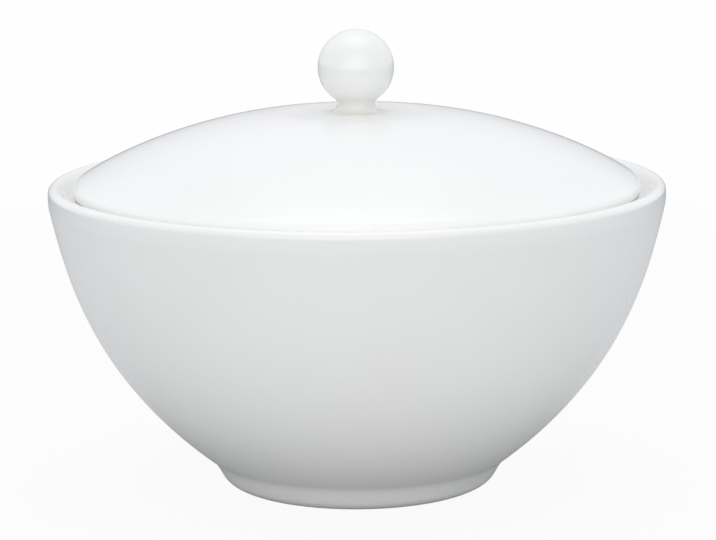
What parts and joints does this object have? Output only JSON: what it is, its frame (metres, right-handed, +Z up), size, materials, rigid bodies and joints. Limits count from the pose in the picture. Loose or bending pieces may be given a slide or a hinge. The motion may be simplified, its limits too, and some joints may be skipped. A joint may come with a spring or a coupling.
{
  "type": "sugar bowl with lid",
  "caption": "Round footed sugar bowl in white glazed china with a loose inset domed lid that stands on a ledge inside the rim and is lifted by a ball knob.",
  "frame": {"origin": "middle of the foot ring, on the surface that the bowl stands on", "axes": "+Z up along the axis of the bowl, lid and knob; X and Y are level and alike, because the part is round"},
  "size_m": [0.12, 0.12, 0.0887],
  "materials": {
    "bowl_glaze": "clear gloss glaze on white china",
    "foot_glaze": "clear gloss glaze on white china, bearing face wiped bare",
    "lid_glaze": "clear gloss glaze on white china",
    "flange_glaze": "clear gloss glaze on white china",
    "knob_glaze": "clear gloss glaze on white china"
  },
  "bodies": {
    "bowl": {"bowl_shell": "bowl_glaze", "foot_ring": "foot_glaze"},
    "lid": {"lid_shell": "lid_glaze", "lid_locating_flange": "flange_glaze", "lid_knob": "knob_glaze"}
  },
  "joints": [
    {"name": "lid_lift", "type": "slide", "parent": "bowl", "child": "lid", "axis": [0, 0, 1], "range_m": [0, 0.08]}
  ]
}
